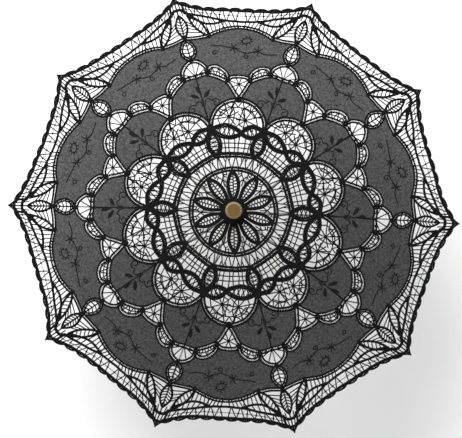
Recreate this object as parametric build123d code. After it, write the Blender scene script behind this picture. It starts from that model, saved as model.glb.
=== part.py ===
from build123d import *
import math
import os

# Lace parasol with ten ribs, open, held upright. Millimetres, +Z up.
# Heights below are above the handle's butt. Each node is written with the origin in the middle of the grip,
# on the shaft's axis, where a hand or a holder takes it. Rib 1 points along +X.

# ---- driving dimensions ----
RIBS = 10
TIP_RADIUS = 400.0          # from the shaft's axis to the end of a rib tip
SPARE_STICK = 47.036        # bare shaft between the handle and the closed runner
FINIAL_LENGTH = 50.0        # its foot sits on the crown washer

# ---- wooden stick ----
SHAFT_R = 5.5
HANDLE_R = 10.5
GRIP_MIDDLE = 47.0          # the origin, above the butt
HANDLE_LENGTH = 128.0
HANDLE_NECK = 36.0          # what is above the straight barrel
HANDLE_BEAD = 8.0
HANDLE_BORE_DEPTH = 60.0
BUTT_ROUND = 3.0
HANDLE_NECK_R = 8.0
GROOVE_R = 1.2
COLLAR_LENGTH = 7.0
COLLAR_WALL = 1.0

FINIAL_FOOT_R = 9.0
FINIAL_NECK_R = 6.8
FINIAL_KNOB_R = 14.2
FINIAL_FLAT_R = 10.4        # its flat top
FINIAL_BORE_DEPTH = 22.0
KNOB_HEIGHT = 22.0

# ---- crown notch, where the ribs hang ----
PIVOT_R = 9.5               # radius of the wire ring through the rib eyes, and of the runner's
RING_WIRE_R = 0.6
WIRE_GAP = 0.02
NOTCH_R = 13.0
NOTCH_ABOVE = 4.0
NOTCH_BELOW = 4.0
NOTCH_ROOF = 1.4
SLOT_SIDE_GAP = 0.3
SLOT_FLOOR_R = 6.9
WASHER_R = 16.0
WASHER_THICK = 1.0
BORE_GAP = 0.03             # what is fixed on the shaft

# ---- ribs: round wire bent to one arc ----
RIB_WIRE_R = 1.3
RIB_SLOPE_DEG = 8.0         # below the horizontal, where it leaves the crown
RIB_DROP = 150.0            # from the crown's pivot ring to the end of the wire
TIP_BEYOND = 9.0            # what the tip adds past the wire, measured outwards
EYE_R = 2.2
EYE_THICK = 2.4
EYE_HOLE_R = 0.72
STRETCHER_ALONG = 198.589   # from the pivot ring to the stretcher's rivet, along the wire
LUG_DROP = 3.0              # the rivet's centre below the wire's
LUG_R = 2.3
RIVET_R = 0.75
RIVET_GAP = 0.05
RIVET_HEAD_R = 1.5
RIVET_HEAD_THICK = 0.5
TIP_R = 2.1
TIP_POINT_R = 0.9
TIP_BALL_R = 1.5
TIP_SLEEVE = 6.0

# ---- stretchers ----
CHEEK_THICK = 0.8
CHEEK_GAP = 0.15
BAR_HEIGHT = 3.0
FORK_BRIDGE_FROM = 7.0
FORK_BRIDGE_TO = 12.0

# ---- runner ----
RUNNER_GAP = 0.25           # to the shaft, all round
RUNNER_WALL = 2.4
RUNNER_BELOW = 58.0         # sleeve below its pivot ring
RUNNER_FLANGE_R = 12.0
RUNNER_FLANGE_THICK = 3.0
RUNNER_COLLAR_BELOW = 4.5
RUNNER_COLLAR_ABOVE = 1.6
WINDOW_LENGTH = 16.0
WINDOW_FOOT = 8.0           # from the sleeve's foot to the window

# ---- closed parasol ----
CLOSED_TIP_R = 22.0         # radius of the wire's end when it is folded

# ---- catches ----
CATCH_THICK = 2.0
CATCH_GAP = 0.3
CATCH_OUT = 3.0             # how far a tooth stands out of the shaft
CATCH_TOOTH = 14.0          # length of its ramp
CATCH_ARM = 24.0            # from its pin to the tooth's shoulder
CATCH_DEPTH = 3.4
CATCH_REST_GAP = 0.4        # between a runner at rest and the tooth's shoulder
CATCH_PIN_R = 0.8
CATCH_PIN_GAP = 0.05
CATCH_PRESS_DEG = 7.5
STOP_PIN_R = 1.0
STOP_PIN_OUT = 2.2
STOP_PIN_GAP = 0.5

# ---- lace canopy: one gore for each rib, from mid-panel to mid-panel ----
LACE_ABOVE_WIRE = 0.5
LACE_THICK = 1.0
LACE_INNER_R = 17.5
LACE_BEFORE_TIP = 16.0      # the lace ends this far before the rib tip's end
LACE_SWEEP = 22.0           # its edge is nearer to the shaft by this much at mid-panel
GORE_GAP = 0.15             # each side of a mid-panel
ROSETTE_R = 22.0
ROSETTE_THICK = 1.2
ROSETTE_GAP = 0.4

# ---- what follows from them ----
STEP_DEG = 360.0 / RIBS
HALF = math.radians(STEP_DEG / 2)
WIRE_END_R = TIP_RADIUS - TIP_BEYOND
LACE_CORNER_R = TIP_RADIUS - LACE_BEFORE_TIP
LACE_MID_R = LACE_CORNER_R - LACE_SWEEP
HANDLE_GRIP_TOP = HANDLE_LENGTH - HANDLE_NECK


def rib_arc():
    """Centre, radius and angle of the rib's arc in its own XZ plane. Heights are from the pivot ring."""
    run = WIRE_END_R - PIVOT_R
    chord = math.hypot(run, RIB_DROP)
    half_turn = math.atan2(RIB_DROP, run) - math.radians(RIB_SLOPE_DEG)
    radius = chord / (2 * math.sin(half_turn))
    slope = math.radians(RIB_SLOPE_DEG)
    centre = (PIVOT_R - radius * math.sin(slope), -radius * math.cos(slope))
    return centre, radius, 2 * half_turn


ARC_CENTRE, ARC_R, ARC_TURN = rib_arc()
STRETCHER_TURN = STRETCHER_ALONG / ARC_R


def on_arc(angle, above=0.0):
    """The point an angle along the rib's arc, standing above the wire's centre line by so much."""
    reach = ARC_R + above
    angle += math.radians(RIB_SLOPE_DEG)
    return ARC_CENTRE[0] + reach * math.sin(angle), ARC_CENTRE[1] + reach * math.cos(angle)


# The stretcher is as long as the rib is from its pivot to the rivet, so that with both pivot rings of one
# radius the rib, the stretcher and the shaft make an isosceles triangle at every opening.
RIVET_X, RIVET_BELOW = on_arc(STRETCHER_TURN, -LUG_DROP)
LINK = math.hypot(RIVET_X - PIVOT_R, RIVET_BELOW)
OPEN_ANGLE = math.acos(-RIVET_BELOW / LINK)             # link to shaft, open
TIP_CHORD = math.hypot(WIRE_END_R - PIVOT_R, RIB_DROP)
TIP_ANGLE = math.atan2(WIRE_END_R - PIVOT_R, RIB_DROP)  # wire's end to shaft, open
FOLD = TIP_ANGLE - math.asin((CLOSED_TIP_R - PIVOT_R) / TIP_CHORD)
OPEN_STACK = 2 * LINK * math.cos(OPEN_ANGLE)            # from the runner's pivot ring to the crown's
CLOSED_STACK = 2 * LINK * math.cos(OPEN_ANGLE - FOLD)
RUNNER_TRAVEL = CLOSED_STACK - OPEN_STACK

# The stick is as long as the folded parasol needs: handle, spare shaft, closed runner, folded links, crown.
CLOSED_FOOT_Z = HANDLE_LENGTH + SPARE_STICK
PIVOT_Z = CLOSED_FOOT_Z + RUNNER_BELOW + CLOSED_STACK
RUNNER_Z = PIVOT_Z - OPEN_STACK
RUNNER_FOOT_Z = RUNNER_Z - RUNNER_BELOW
FINIAL_FOOT_Z = PIVOT_Z + NOTCH_ABOVE + WASHER_THICK
OVERALL_HEIGHT = FINIAL_FOOT_Z + FINIAL_LENGTH          # butt of the handle to the top of the finial
RIVET_Z = PIVOT_Z + RIVET_BELOW


def height_at(radius, above=0.0):
    """Height of the rib's arc at a distance from the shaft's axis."""
    return PIVOT_Z + ARC_CENTRE[1] + math.sqrt((ARC_R + above) ** 2 - (radius - ARC_CENTRE[0]) ** 2)


SLOT_WIDTH = EYE_THICK + 2 * SLOT_SIDE_GAP
SLEEVE_R = SHAFT_R + RUNNER_GAP + RUNNER_WALL
CHEEK_IN = EYE_THICK / 2 + CHEEK_GAP
CHEEK_OUT = CHEEK_IN + CHEEK_THICK
CATCH_PIN_X = SHAFT_R - CATCH_GAP - (CATCH_DEPTH - CATCH_GAP) / 2
TOP_SHOULDER_Z = RUNNER_FOOT_Z - CATCH_REST_GAP
LOW_SHOULDER_Z = CLOSED_FOOT_Z + WINDOW_FOOT + CATCH_REST_GAP


def rod(radius, z_low, z_high, x=0.0, y=0.0):
    """An upright round bar."""
    return Pos(x, y, (z_low + z_high) / 2) * Cylinder(radius, z_high - z_low)


def pin_y(radius, half_length, x, z, y=0.0):
    """A round bar that lies along Y."""
    return Pos(x, y, z) * Rot(90, 0, 0) * Cylinder(radius, 2 * half_length)


def block(x0, x1, y0, y1, z0, z1):
    """A box between two corners."""
    return Pos((x0 + x1) / 2, (y0 + y1) / 2, (z0 + z1) / 2) * Box(x1 - x0, y1 - y0, z1 - z0)


def turned(*edges):
    """A piece turned on the lathe from its half outline in the XZ plane."""
    return revolve(make_face(Wire(edges)), Axis.Z)


def ring_wire(z, radius=RING_WIRE_R):
    """A wire ring that strings the eyes together."""
    return Pos(0, 0, z) * Torus(PIVOT_R, radius)


def around(shape, number):
    """A piece made for rib 1, turned to its own rib."""
    return Rot(0, 0, STEP_DEG * number) * shape


def ring_of_slots(z_low, z_high, reach):
    """The cuts that the eyes swing in."""
    slot = block(SLOT_FLOOR_R, reach, -SLOT_WIDTH / 2, SLOT_WIDTH / 2, z_low, z_high)
    return [around(slot, number) for number in range(RIBS)]


def catch_pocket(pin_z, up):
    """The slot in the shaft that a catch swings in. up is 1 where the arm stands over its pin, -1 where it hangs."""
    width = CATCH_THICK / 2 + CATCH_GAP
    swing = math.hypot(CATCH_ARM, SHAFT_R + CATCH_OUT - CATCH_PIN_X)     # of the tooth's corner
    far = pin_z + up * (swing + CATCH_GAP)
    near = pin_z - up * (CATCH_DEPTH / 2 + CATCH_GAP)
    floor = SHAFT_R - CATCH_DEPTH - CATCH_OUT - 2 * CATCH_GAP
    return block(floor, SHAFT_R + 1, -width, width, min(far, near), max(far, near))


def catch(pin_z, up):
    """A sprung tooth on a cross pin. Its square shoulder stops the runner and its ramp lets the runner pass."""
    outer = SHAFT_R - CATCH_GAP
    inner = outer - CATCH_DEPTH + CATCH_GAP
    shoulder = pin_z + up * CATCH_ARM
    ramp_foot = shoulder - up * CATCH_TOOTH
    near = pin_z
    outline = Polyline(
        (inner, near), (outer, near), (outer, ramp_foot), (SHAFT_R + CATCH_OUT, shoulder - up * 2.0),
        (SHAFT_R + CATCH_OUT, shoulder), (inner, shoulder), close=True,
    )
    plate = extrude(Plane.XZ * make_face(outline), CATCH_THICK / 2, both=True)
    middle = (inner + outer) / 2
    plate += pin_y((outer - inner) / 2, CATCH_THICK / 2, middle, pin_z)
    return plate - pin_y(CATCH_PIN_R + CATCH_PIN_GAP, CATCH_THICK, middle, pin_z)


TOP_PIN_Z = TOP_SHOULDER_Z - CATCH_ARM
LOW_PIN_Z = LOW_SHOULDER_Z + CATCH_ARM
STOP_PIN_Z = RUNNER_Z + RUNNER_COLLAR_ABOVE + STOP_PIN_GAP + STOP_PIN_R


def shaft():
    """Round wooden stick with two catch slots, their pin holes and the stop pin's hole."""
    stick = rod(SHAFT_R, HANDLE_LENGTH - HANDLE_BORE_DEPTH, FINIAL_FOOT_Z + FINIAL_BORE_DEPTH)
    stick -= catch_pocket(TOP_PIN_Z, 1)
    stick -= catch_pocket(LOW_PIN_Z, -1)
    for z in (TOP_PIN_Z, LOW_PIN_Z):
        stick -= pin_y(CATCH_PIN_R, SHAFT_R + 1, CATCH_PIN_X, z)
    return stick - pin_y(STOP_PIN_R, SHAFT_R + 1, 0, STOP_PIN_Z)


def catch_pins():
    """The two cross pins that the catches swing on."""
    reach = math.sqrt(SHAFT_R**2 - CATCH_PIN_X**2) - CATCH_PIN_R / 2
    return [pin_y(CATCH_PIN_R, reach, CATCH_PIN_X, z) for z in (TOP_PIN_Z, LOW_PIN_Z)]


def stop_pin():
    """The cross pin that stops the runner at the top."""
    return pin_y(STOP_PIN_R, SHAFT_R + STOP_PIN_OUT, 0, STOP_PIN_Z)


def handle():
    """Turned wooden grip: a straight barrel, two grooves, a bead and a tapering neck."""
    bead_top = HANDLE_GRIP_TOP + HANDLE_BEAD
    neck_top = HANDLE_LENGTH - COLLAR_LENGTH
    body = turned(
        Line((0, 0, 0), (HANDLE_R - BUTT_ROUND, 0, 0)),
        ThreePointArc(
            (HANDLE_R - BUTT_ROUND, 0, 0),
            (HANDLE_R - BUTT_ROUND * (1 - math.sqrt(0.5)), 0, BUTT_ROUND * (1 - math.sqrt(0.5))),
            (HANDLE_R, 0, BUTT_ROUND),
        ),
        Line((HANDLE_R, 0, BUTT_ROUND), (HANDLE_R, 0, HANDLE_GRIP_TOP)),
        ThreePointArc(
            (HANDLE_R, 0, HANDLE_GRIP_TOP), (HANDLE_R + 1.5, 0, bead_top - HANDLE_BEAD / 2), (HANDLE_R, 0, bead_top)
        ),
        ThreePointArc(
            (HANDLE_R, 0, bead_top), (HANDLE_NECK_R + 0.6, 0, (bead_top + neck_top) / 2), (HANDLE_NECK_R, 0, neck_top)
        ),
        Line((HANDLE_NECK_R, 0, neck_top), (0, 0, neck_top)),
        Line((0, 0, neck_top), (0, 0, 0)),
    )
    for z in (HANDLE_GRIP_TOP, bead_top):
        body -= Pos(0, 0, z) * Torus(HANDLE_R + 0.3, GROOVE_R)
    return body - rod(SHAFT_R + BORE_GAP, HANDLE_LENGTH - HANDLE_BORE_DEPTH, HANDLE_LENGTH)


def handle_collar():
    """Brass band where the shaft enters the handle."""
    low = HANDLE_LENGTH - COLLAR_LENGTH
    band = rod(HANDLE_NECK_R + COLLAR_WALL, low, HANDLE_LENGTH)
    band = fillet(band.edges().filter_by(GeomType.CIRCLE), COLLAR_WALL / 2)
    return band - rod(SHAFT_R + BORE_GAP, low - 1, HANDLE_LENGTH + 1)


def finial():
    """Turned wooden knob on top of the shaft, with a flat top and a flared foot."""
    knob_foot = OVERALL_HEIGHT - KNOB_HEIGHT
    knob_mid = OVERALL_HEIGHT - KNOB_HEIGHT * 0.5
    body = turned(
        Line((0, 0, FINIAL_FOOT_Z), (FINIAL_FOOT_R, 0, FINIAL_FOOT_Z)),
        Line((FINIAL_FOOT_R, 0, FINIAL_FOOT_Z), (FINIAL_FOOT_R, 0, FINIAL_FOOT_Z + 4)),
        ThreePointArc(
            (FINIAL_FOOT_R, 0, FINIAL_FOOT_Z + 4),
            (FINIAL_NECK_R, 0, (FINIAL_FOOT_Z + knob_foot) / 2 + 2),
            (FINIAL_NECK_R + 1.2, 0, knob_foot),
        ),
        ThreePointArc(
            (FINIAL_NECK_R + 1.2, 0, knob_foot),
            (FINIAL_KNOB_R - 1.0, 0, knob_mid - 4),
            (FINIAL_KNOB_R, 0, knob_mid + 1),
        ),
        ThreePointArc(
            (FINIAL_KNOB_R, 0, knob_mid + 1),
            (FINIAL_KNOB_R - 1.2, 0, OVERALL_HEIGHT - 3.0),
            (FINIAL_FLAT_R, 0, OVERALL_HEIGHT),
        ),
        Line((FINIAL_FLAT_R, 0, OVERALL_HEIGHT), (0, 0, OVERALL_HEIGHT)),
        Line((0, 0, OVERALL_HEIGHT), (0, 0, FINIAL_FOOT_Z)),
    )
    return body - rod(SHAFT_R + BORE_GAP, FINIAL_FOOT_Z - 1, FINIAL_FOOT_Z + FINIAL_BORE_DEPTH)


def crown_washer():
    """Thin washer between the notch and the finial."""
    top = FINIAL_FOOT_Z
    return rod(WASHER_R, top - WASHER_THICK, top) - rod(SHAFT_R + BORE_GAP, top - 2 * WASHER_THICK, top + 1)


def crown_rosette():
    """Gathered lace at the crown: a soft ring round the finial's foot."""
    low = FINIAL_FOOT_Z + ROSETTE_GAP
    ring = rod(ROSETTE_R, low, low + ROSETTE_THICK)
    return ring - rod(FINIAL_FOOT_R + ROSETTE_GAP, low - 1, low + ROSETTE_THICK + 1)


def crown_notch():
    """Slotted ring that holds the ribs' eyes."""
    low, high = PIVOT_Z - NOTCH_BELOW, PIVOT_Z + NOTCH_ABOVE
    ring = rod(NOTCH_R, low, high) - rod(SHAFT_R + BORE_GAP, low - 1, high + 1)
    for slot in ring_of_slots(low - 1, high - NOTCH_ROOF, NOTCH_R + 1):
        ring -= slot
    return ring - ring_wire(PIVOT_Z, RING_WIRE_R + WIRE_GAP)


def runner():
    """Sleeve that slides on the shaft: a slotted collar on top, a window for the low catch and a thumb flange."""
    collar_low, collar_high = RUNNER_Z - RUNNER_COLLAR_BELOW, RUNNER_Z + RUNNER_COLLAR_ABOVE
    body = rod(SLEEVE_R, RUNNER_FOOT_Z, collar_high)
    body += rod(NOTCH_R, collar_low, collar_high)
    cone = Pos(0, 0, collar_low - 5) * Cone(SLEEVE_R, NOTCH_R, 10)
    body += cone & rod(NOTCH_R, collar_low - 10, collar_low)
    body += rod(RUNNER_FLANGE_R, RUNNER_FOOT_Z, RUNNER_FOOT_Z + RUNNER_FLANGE_THICK)
    body -= rod(SHAFT_R + RUNNER_GAP, RUNNER_FOOT_Z - 1, collar_high + 1)
    for slot in ring_of_slots(RUNNER_Z - EYE_R - SLOT_SIDE_GAP, collar_high + 1, NOTCH_R + 1):
        body -= slot
    window_low = RUNNER_FOOT_Z + WINDOW_FOOT
    half_width = CATCH_THICK / 2 + CATCH_GAP
    body -= block(0, SLEEVE_R + 1, -half_width, half_width, window_low, window_low + WINDOW_LENGTH)
    return body - ring_wire(RUNNER_Z, RING_WIRE_R + WIRE_GAP)


def rib():
    """Round wire bent to an arc, with an eye on the crown's ring and a lug for the stretcher's rivet."""
    start = 1.5 / ARC_R
    first_x, first_z = on_arc(start)
    section = Plane(
        origin=(first_x, 0, first_z),
        z_dir=(math.cos(math.radians(RIB_SLOPE_DEG)), 0, -math.sin(math.radians(RIB_SLOPE_DEG))),
    )
    middle = Axis((ARC_CENTRE[0], 0, ARC_CENTRE[1]), (0, 1, 0))
    wire = revolve(section * Circle(RIB_WIRE_R), middle, math.degrees(ARC_TURN - start))
    tongue = make_face(
        Wire([
            Line((-LUG_R, 0, LUG_DROP), (-LUG_R, 0, 0)),
            ThreePointArc((-LUG_R, 0, 0), (0, 0, -LUG_R), (LUG_R, 0, 0)),
            Line((LUG_R, 0, 0), (LUG_R, 0, LUG_DROP)),
            Line((LUG_R, 0, LUG_DROP), (-LUG_R, 0, LUG_DROP)),
        ])
    )
    lug = extrude(tongue, EYE_THICK / 2, both=True)
    tilt = math.degrees(STRETCHER_TURN) + RIB_SLOPE_DEG
    body = wire + Pos(RIVET_X, 0, RIVET_BELOW) * Rot(0, tilt, 0) * lug
    body += pin_y(EYE_R, EYE_THICK / 2, PIVOT_R, 0)
    body -= pin_y(EYE_HOLE_R, EYE_THICK, PIVOT_R, 0)
    body -= pin_y(RIVET_R + RIVET_GAP, EYE_THICK, RIVET_X, RIVET_BELOW)
    return Pos(0, 0, PIVOT_Z) * body


def rib_tip():
    """Slender metal tip with a ball end, pressed on the wire."""
    end_x, end_z = on_arc(ARC_TURN)
    slope = RIB_SLOPE_DEG + math.degrees(ARC_TURN)
    beyond = TIP_BEYOND / math.cos(math.radians(slope)) - TIP_BALL_R
    body = turned(
        Line((0, 0, -TIP_SLEEVE), (TIP_R, 0, -TIP_SLEEVE)),
        Line((TIP_R, 0, -TIP_SLEEVE), (TIP_R, 0, 0)),
        Line((TIP_R, 0, 0), (TIP_POINT_R, 0, beyond)),
        Line((TIP_POINT_R, 0, beyond), (0, 0, beyond)),
        Line((0, 0, beyond), (0, 0, -TIP_SLEEVE)),
    )
    body += Pos(0, 0, beyond) * Sphere(TIP_BALL_R)
    body = Pos(end_x, 0, end_z) * Rot(0, 90 + slope, 0) * body
    bent = revolve(
        Plane(origin=(end_x, 0, end_z), z_dir=(math.cos(math.radians(slope)), 0, -math.sin(math.radians(slope))))
        * Circle(RIB_WIRE_R + WIRE_GAP),
        Axis((ARC_CENTRE[0], 0, ARC_CENTRE[1]), (0, -1, 0)),
        math.degrees((TIP_SLEEVE + 2) / ARC_R),
    )
    return Pos(0, 0, PIVOT_Z) * (body - bent)


def stretcher():
    """Flat bar from the runner to the rib, with an eye at the runner, a fork at the rib and its rivet."""
    half = EYE_THICK / 2
    bar = block(0, LINK - FORK_BRIDGE_FROM, -half, half, -BAR_HEIGHT / 2, BAR_HEIGHT / 2)
    bar += pin_y(EYE_R, half, 0, 0)
    bar += block(
        LINK - FORK_BRIDGE_TO, LINK - FORK_BRIDGE_FROM, -CHEEK_OUT, CHEEK_OUT, -BAR_HEIGHT / 2, BAR_HEIGHT / 2
    )
    for side in (-1, 1):
        low, high = sorted((side * CHEEK_IN, side * CHEEK_OUT))
        bar += block(LINK - FORK_BRIDGE_TO, LINK, low, high, -BAR_HEIGHT / 2, BAR_HEIGHT / 2)
        bar += pin_y(LUG_R - 0.3, CHEEK_THICK / 2, LINK, 0, side * (CHEEK_IN + CHEEK_THICK / 2))
    bar -= pin_y(EYE_HOLE_R, EYE_THICK, 0, 0)
    bar -= pin_y(RIVET_R, CHEEK_OUT + 1, LINK, 0)
    rivet = pin_y(RIVET_R, CHEEK_OUT, LINK, 0)
    for side in (-1, 1):
        rivet += pin_y(RIVET_HEAD_R, RIVET_HEAD_THICK / 2, LINK, 0, side * (CHEEK_OUT + RIVET_HEAD_THICK / 2))
    rise = math.degrees(math.pi / 2 - OPEN_ANGLE)
    place = Pos(PIVOT_R, 0, RUNNER_Z) * Rot(0, -rise, 0)
    return [place * bar, place * rivet]


def gore_side():
    """Half a gore, from its rib's plane to the mid-panel. Straight across the panel, arched along the rib."""
    squeeze = math.cos(HALF)
    low, high = RIB_WIRE_R + LACE_ABOVE_WIRE, RIB_WIRE_R + LACE_ABOVE_WIRE + LACE_THICK
    ends = (LACE_INNER_R * 0.8, LACE_CORNER_R + 5)
    middle = sum(ends) / 2

    def line(above):
        return ThreePointArc(*[(r * squeeze, 0, height_at(r, above)) for r in (ends[0], middle, ends[1])])

    under, over = line(low), line(high)
    face = make_face(Wire([under, Line(under @ 1, over @ 1), over, Line(over @ 0, under @ 0)]))
    sheet = extrude(face, LACE_CORNER_R * math.sin(HALF) + 5, both=True)
    inner, corner, middle_edge = LACE_INNER_R, LACE_CORNER_R, LACE_MID_R
    bend = (corner * squeeze + middle_edge) / 2 - 1.5
    cut = make_face(
        Wire([
            Line((inner, GORE_GAP, 0), (middle_edge, GORE_GAP, 0)),
            ThreePointArc(
                (middle_edge, GORE_GAP, 0),
                (bend, corner * math.sin(HALF) / 2, 0),
                (corner * math.cos(HALF), corner * math.sin(HALF), 0),
            ),
            Line(
                (corner * math.cos(HALF), corner * math.sin(HALF), 0),
                (inner * math.cos(HALF), inner * math.sin(HALF), 0),
            ),
            Line((inner * math.cos(HALF), inner * math.sin(HALF), 0), (inner, GORE_GAP, 0)),
        ])
    )
    return Rot(0, 0, -STEP_DEG / 2) * (sheet & extrude(cut, OVERALL_HEIGHT))


def lace_gore():
    """The lace over one rib, to the middle of the panel on each side."""
    side = gore_side()
    return side + mirror(side, Plane.XZ)


def write(name, *solids):
    """Writes one node, as its solids, in the frame of the grip."""
    moved = [Pos(0, 0, -GRIP_MIDDLE) * solid for solid in solids]
    export_step(moved[0] if len(moved) == 1 else Compound(children=moved), f"parts/{name}.step")


def main():
    os.makedirs("parts", exist_ok=True)
    write("shaft", shaft())
    write("handle", handle())
    write("handle_collar", handle_collar())
    write("finial", finial())
    write("crown_washer", crown_washer())
    write("crown_rosette", crown_rosette())
    write("crown_notch", crown_notch())
    write("crown_ring_wire", ring_wire(PIVOT_Z))
    write("catch_pins", *catch_pins())
    write("runner_stop_pin", stop_pin())
    write("top_catch", catch(TOP_PIN_Z, 1))
    write("low_catch", catch(LOW_PIN_Z, -1))
    write("runner", runner())
    write("runner_ring_wire", ring_wire(RUNNER_Z))
    one_rib, one_tip, one_stretcher, one_gore = rib(), rib_tip(), stretcher(), lace_gore()
    for number in range(RIBS):
        label = f"{number + 1:02d}"
        write(f"rib_{label}", around(one_rib, number))
        write(f"rib_tip_{label}", around(one_tip, number))
        write(f"stretcher_{label}", *[around(solid, number) for solid in one_stretcher])
        write(f"lace_gore_{label}", around(one_gore, number))
    print("pivots above the butt", PIVOT_Z, RUNNER_Z, "link", LINK)
    print("fold", math.degrees(FOLD), "runner travel", RUNNER_TRAVEL)
    print("rivet", RIVET_X, RIVET_Z, "catch pins", CATCH_PIN_X, TOP_PIN_Z, LOW_PIN_Z)
    print("arc centre", ARC_CENTRE, "arc radius", ARC_R, "turn", math.degrees(ARC_TURN))
    print("closed runner foot", CLOSED_FOOT_Z, "handle top", HANDLE_LENGTH)


main()
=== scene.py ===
# %% [markdown]
# # A black lace parasol
#
# The metal and wooden parts come from the shared frame. This lesson adds what is made of thread and cloth:
# the tape lace, the two rings of sheer cloth, their embroidery and the gathered lace at the crown. Such a
# canopy is made flat, panel by panel: a woven tape is tacked along a drawn pattern, and the gaps are filled
# with needle-made threads. So the pattern is drawn flat here as well, once, and then laid over each rib.

# %% Start from the shared frame
import cmath
import math

import bmesh
import bpy
from mathutils import Matrix, Vector, noise


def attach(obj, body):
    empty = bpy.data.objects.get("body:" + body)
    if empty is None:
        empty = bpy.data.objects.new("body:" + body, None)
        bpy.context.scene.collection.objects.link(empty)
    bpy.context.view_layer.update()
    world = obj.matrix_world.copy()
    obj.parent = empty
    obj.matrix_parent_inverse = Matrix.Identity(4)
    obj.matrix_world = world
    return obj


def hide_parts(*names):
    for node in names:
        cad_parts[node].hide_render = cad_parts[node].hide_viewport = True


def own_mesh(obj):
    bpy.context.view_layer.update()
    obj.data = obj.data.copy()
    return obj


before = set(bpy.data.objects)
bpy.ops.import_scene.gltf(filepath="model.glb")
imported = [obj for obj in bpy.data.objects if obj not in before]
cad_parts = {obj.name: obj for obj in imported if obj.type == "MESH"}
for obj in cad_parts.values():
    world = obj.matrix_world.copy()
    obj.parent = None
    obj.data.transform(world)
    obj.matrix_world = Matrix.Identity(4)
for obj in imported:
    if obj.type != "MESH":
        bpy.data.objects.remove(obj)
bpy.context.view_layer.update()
MM = 0.001
RIBS = 10
HALF_PANEL = 18.0

# %% [markdown]
# ## The dome
#
# Each rib is a wire bent to one arc, and the lace is stretched over it. Between two ribs the cloth is
# straight, so a point is as high as the rib is where its straight line across the panel starts. The arc comes
# from the frame's own sizes: where it leaves the crown, how steeply, and how far out and down its end is.

# %% Height of the lace over the frame
PIVOT_R = 9.5
PIVOT_Z = 578.0
RIB_END_R = 391.0
RIB_DROP = 150.0
RIB_SLOPE = math.radians(8)
RIDGE_SOFT = 4.0            # the lace rounds over the wire instead of creasing
HALF_ANGLE = math.radians(HALF_PANEL)
TAN_HALF, SIN_HALF, COS_HALF = math.tan(HALF_ANGLE), math.sin(HALF_ANGLE), math.cos(HALF_ANGLE)


def rib_arc():
    """Where the middle of the rib's arc is, outwards and up, and its radius, in millimetres."""
    run = RIB_END_R - PIVOT_R
    half_turn = math.atan2(RIB_DROP, run) - RIB_SLOPE
    radius = math.hypot(run, RIB_DROP) / (2 * math.sin(half_turn))
    return PIVOT_R - radius * math.sin(RIB_SLOPE), PIVOT_Z - radius * math.cos(RIB_SLOPE), radius


ARC_X, ARC_Z, ARC_R = rib_arc()


def dome(p, above):
    """Height over a flat pattern point p = across + 1j * outwards, in the frame of its rib."""
    across = math.sqrt(p.real**2 + RIDGE_SOFT**2) - RIDGE_SOFT
    reach = p.imag + across * TAN_HALF
    return ARC_Z + math.sqrt((ARC_R + above) ** 2 - (reach - ARC_X) ** 2)


print("the rib's arc has a radius of", round(ARC_R), "mm")
print("its height near the crown and near the rim:", round(dome(20j, 0)), round(dome(384j, 0)))

# %% [markdown]
# ## Drawing on the flat pattern
#
# A pattern point is one complex number: across the rib, and outwards along it, in millimetres. Turning a
# line to the next panel is then one multiplication. A line is a list of points until it is laid on the dome.


# %% Points, turned lines and smooth lines
def polar(radius, degrees):
    """A point at a distance from the shaft and an angle clockwise from the rib."""
    return radius * cmath.exp(1j * math.radians(90 - degrees))


def turned(line, degrees):
    """A line moved clockwise round the shaft."""
    step = cmath.exp(-1j * math.radians(degrees))
    return [p * step for p in line]


def mirrored(line):
    """A line on the other side of the rib."""
    return [complex(-p.real, p.imag) for p in line]


def smooth(points, step=3.0):
    """A smooth line through the points, with a vertex about every step."""
    line = []
    padded = [2 * points[0] - points[1], *points, 2 * points[-1] - points[-2]]
    for a, b, c, d in zip(padded, padded[1:], padded[2:], padded[3:]):
        count = max(1, round(abs(c - b) / step))
        squared, cubed = 2 * a - 5 * b + 4 * c - d, 3 * b - a - 3 * c + d
        for i in range(count):
            t = i / count
            line.append(0.5 * (2 * b + (c - a) * t + squared * t**2 + cubed * t**3))
    return line + [points[-1]]


def beside(line, offset):
    """The line moved to its left by offset."""
    moved = []
    for i, p in enumerate(line):
        along = line[min(i + 1, len(line) - 1)] - line[max(i - 1, 0)]
        moved.append(p + 1j * along / abs(along) * offset)
    return moved


def at(line, share):
    """The point at a share of a line's length."""
    lengths = [abs(b - a) for a, b in zip(line, line[1:])]
    left = share * sum(lengths)
    for a, b, length in zip(line, line[1:], lengths):
        if left <= length:
            return a + (b - a) * left / length
        left -= length
    return line[-1]


def length_of(line):
    """How long the thread along a line is."""
    return sum(abs(b - a) for a, b in zip(line, line[1:]))


print("an arc of 36 degrees 100 mm out is", round(length_of([polar(100, d) for d in range(37)])), "mm long")


# %% Leaf outlines
def leaf(start, end, half, fullest=0.5, step=3.0):
    """The two sides of a pointed oval from start to end, the left one first."""
    power = math.log(0.5) / math.log(fullest)
    count = max(8, round(abs(end - start) / step))
    across = 1j * (end - start) / abs(end - start) * half
    shares = [i / count for i in range(count + 1)]
    bulge = [math.sin(math.pi * t**power) ** 0.85 for t in shares]
    middle = [start + (end - start) * t for t in shares]
    return [m + across * b for m, b in zip(middle, bulge)], [m - across * b for m, b in zip(middle, bulge)]


print("a leaf 40 mm long has sides of", round(length_of(leaf(0, 40j, 10)[0])), "mm")


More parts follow.
